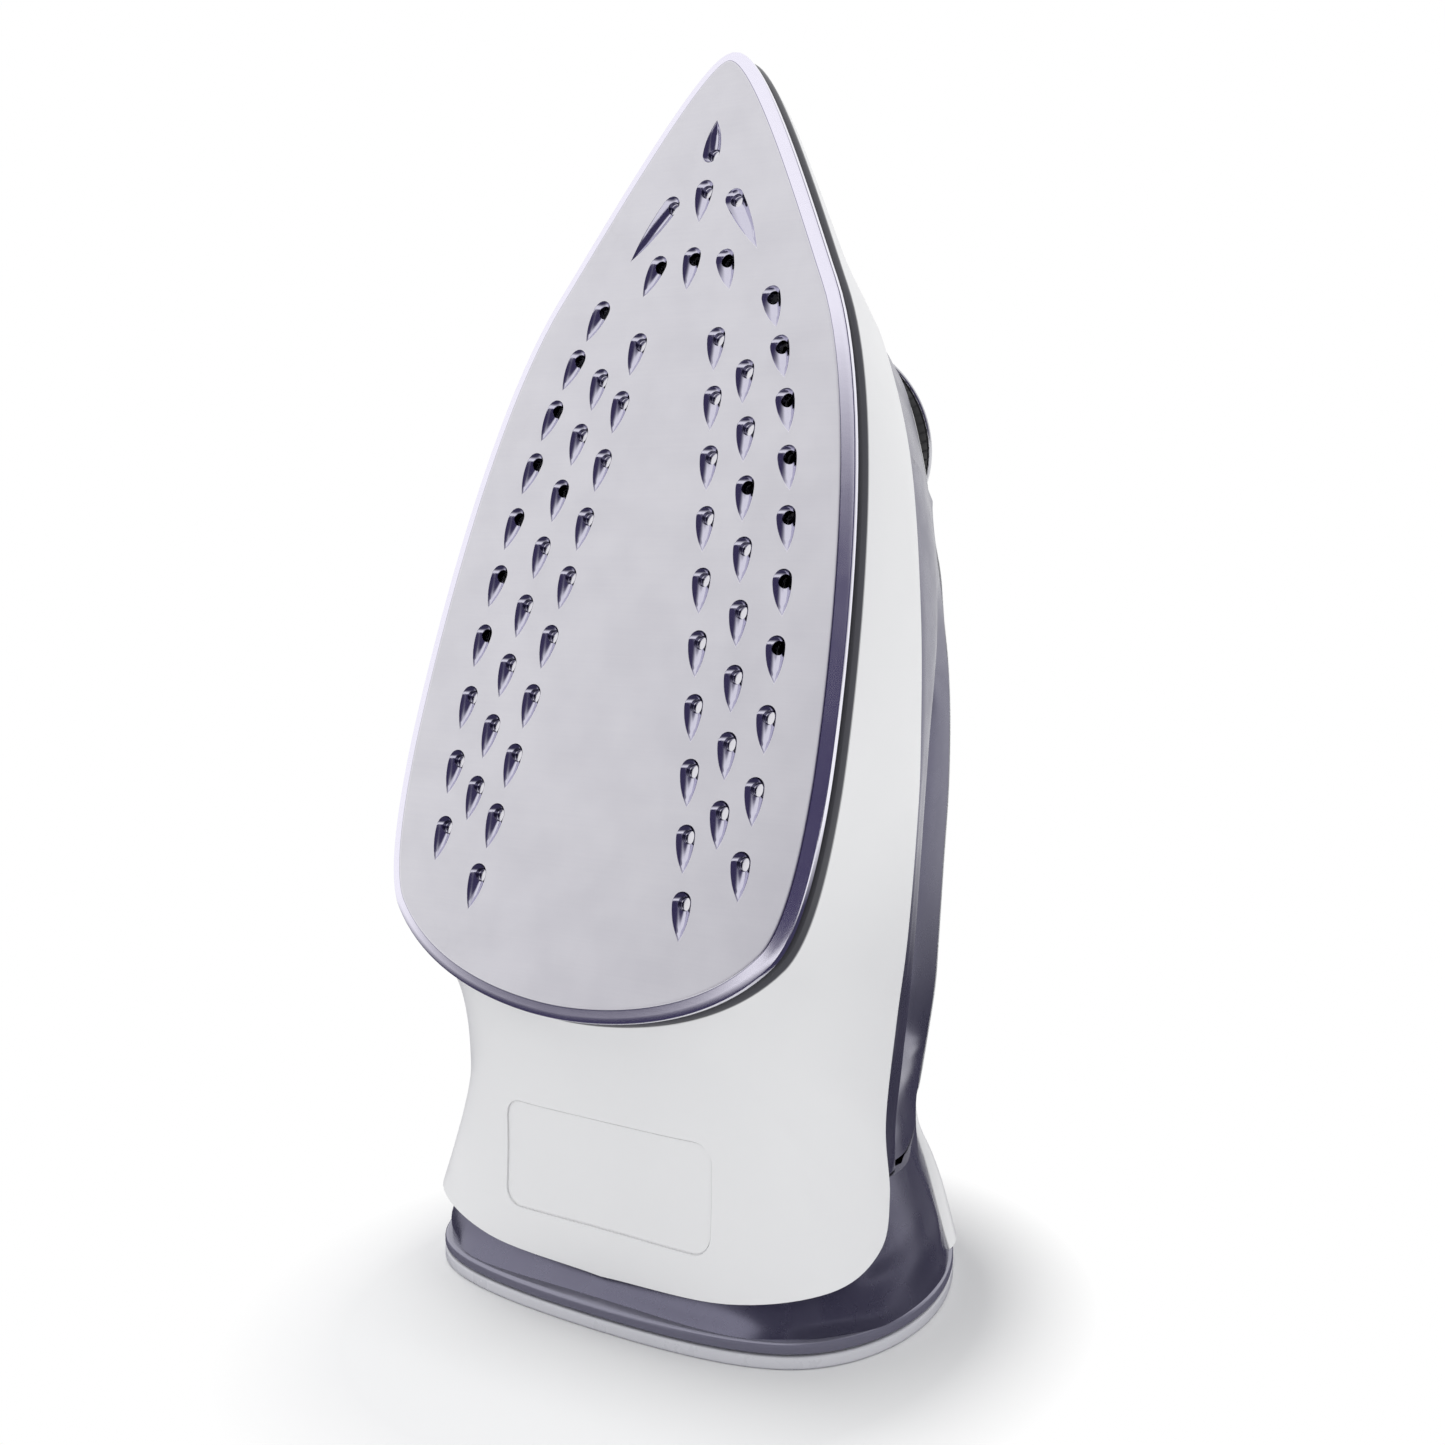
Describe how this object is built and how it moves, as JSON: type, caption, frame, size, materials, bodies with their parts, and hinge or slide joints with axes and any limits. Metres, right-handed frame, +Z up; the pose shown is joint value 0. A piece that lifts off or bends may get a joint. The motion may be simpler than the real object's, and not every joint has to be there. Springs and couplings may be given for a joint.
{
  "type": "steam iron",
  "caption": "Steam iron standing on its heel: vented metal soleplate, white skirt, dark water tank, loop handle, dial, buttons and slider that move.",
  "frame": {"origin": "on the floor, under the middle of the heel plate", "axes": "+Z up with the iron standing on its heel, tip at the top; -Y is the side that the soleplate faces; +X is to the right as the soleplate is seen from the front"},
  "size_m": [0.13, 0.1512, 0.2989],
  "materials": {
    "sole_metal": "fine satin, lightly brushed",
    "cast_aluminium": "as cast",
    "element_steel": "drawn tube",
    "silicone_red": "matte",
    "sheet_steel": "stamped sheet",
    "screw_steel": "zinc plated",
    "black_plastic": "matte heat resistant",
    "ceramic": "glazed ceramic look",
    "brass": "turned",
    "white_gloss": "smooth moulded gloss",
    "navy_gloss": "dark navy moulded gloss",
    "rubber_black": "matte",
    "lavender_plastic": "light lavender grey",
    "light_plastic": "light grey, semi gloss",
    "grey_plastic": "matte",
    "dark_grey_plastic": "satin",
    "silver_trim": "satin silver plating",
    "button_plastic": "smooth slate blue",
    "natural_plastic": "natural, unpainted",
    "silicone_clear": "soft tube",
    "amber_lens": "tinted lens",
    "wire_red": "insulated wire"
  },
  "bodies": {
    "body": {"soleplate": "sole_metal", "casting": "cast_aluminium", "heating_element": "element_steel", "chamber_gasket": "silicone_red", "chamber_cover": "sheet_steel", "cover_screws": "screw_steel", "heat_shield": "black_plastic", "thermostat": "ceramic", "thermal_fuse": "screw_steel", "fuse_clip": "brass", "drip_seat": "brass", "skirt": "white_gloss", "skirt_screws": "screw_steel", "water_tank": "navy_gloss", "tank_seal": "rubber_black", "rear_housing": "navy_gloss", "heel_trim": "lavender_plastic", "heel_plate": "light_plastic", "heel_screws": "screw_steel", "handle_shell": "navy_gloss", "top_shell": "white_gloss", "handle_screws": "screw_steel", "dial_bush": "grey_plastic", "door_pin": "screw_steel", "spray_nozzle": "dark_grey_plastic", "nozzle_tip": "brass", "spray_pump": "natural_plastic", "burst_pump": "natural_plastic", "pump_springs": "screw_steel", "spray_tube": "silicone_clear", "burst_tube": "silicone_clear", "valve_guide": "natural_plastic", "lamp_lens": "amber_lens", "lamp": "natural_plastic", "cord_collar": "dark_grey_plastic", "cord_clamp": "grey_plastic", "terminal_block": "natural_plastic", "wiring": "wire_red"},
    "dial": {"dial_knob": "dark_grey_plastic", "dial_ring": "silver_trim", "dial_cap": "light_plastic", "dial_spindle": "screw_steel", "spindle_clip": "screw_steel"},
    "door": {"fill_door": "button_plastic", "fill_seal": "rubber_black"},
    "slider": {"steam_slider": "button_plastic"},
    "valve": {"valve_rod": "element_steel"},
    "spray_plunger": {"spray_button": "button_plastic", "spray_piston": "natural_plastic"},
    "burst_plunger": {"burst_button": "button_plastic", "burst_piston": "natural_plastic"},
    "gland": {"cord_bush": "rubber_black"}
  },
  "joints": [
    {"name": "dial_turn", "type": "hinge", "parent": "body", "child": "dial", "pos_m": [0, 0.04909, 0.20536], "axis": [0, 0.9682, 0.2504], "range_deg": [-140, 140]},
    {"name": "fill_door_hinge", "type": "hinge", "parent": "body", "child": "door", "pos_m": [0, 0.03712, 0.23836], "axis": [-1, 0, 0], "range_deg": [0, 95]},
    {"name": "steam_slide", "type": "slide", "parent": "body", "child": "slider", "axis": [0, 0.2557, -0.9668], "range_m": [0, 0.008]},
    {"name": "valve_lift", "type": "slide", "parent": "body", "child": "valve", "axis": [0, 0.9532, -0.3024], "range_m": [0, 0.0024]},
    {"name": "spray_press", "type": "slide", "parent": "body", "child": "spray_plunger", "axis": [0, -0.9532, 0.3024], "range_m": [0, 0.0035], "stiffness_N_per_m": 350, "springref_m": -0.003},
    {"name": "burst_press", "type": "slide", "parent": "body", "child": "burst_plunger", "axis": [0, -0.9532, 0.3024], "range_m": [0, 0.0035], "stiffness_N_per_m": 350, "springref_m": -0.003},
    {"name": "cord_swivel", "type": "hinge", "parent": "body", "child": "gland", "pos_m": [0, 0.07166, 0.02647], "axis": [0, 0.9532, -0.3024], "range_deg": [-175, 175]}
  ],
  "couplings": [
    {"joint": "valve_lift", "follows": "steam_slide", "ratio": 0.3}
  ]
}
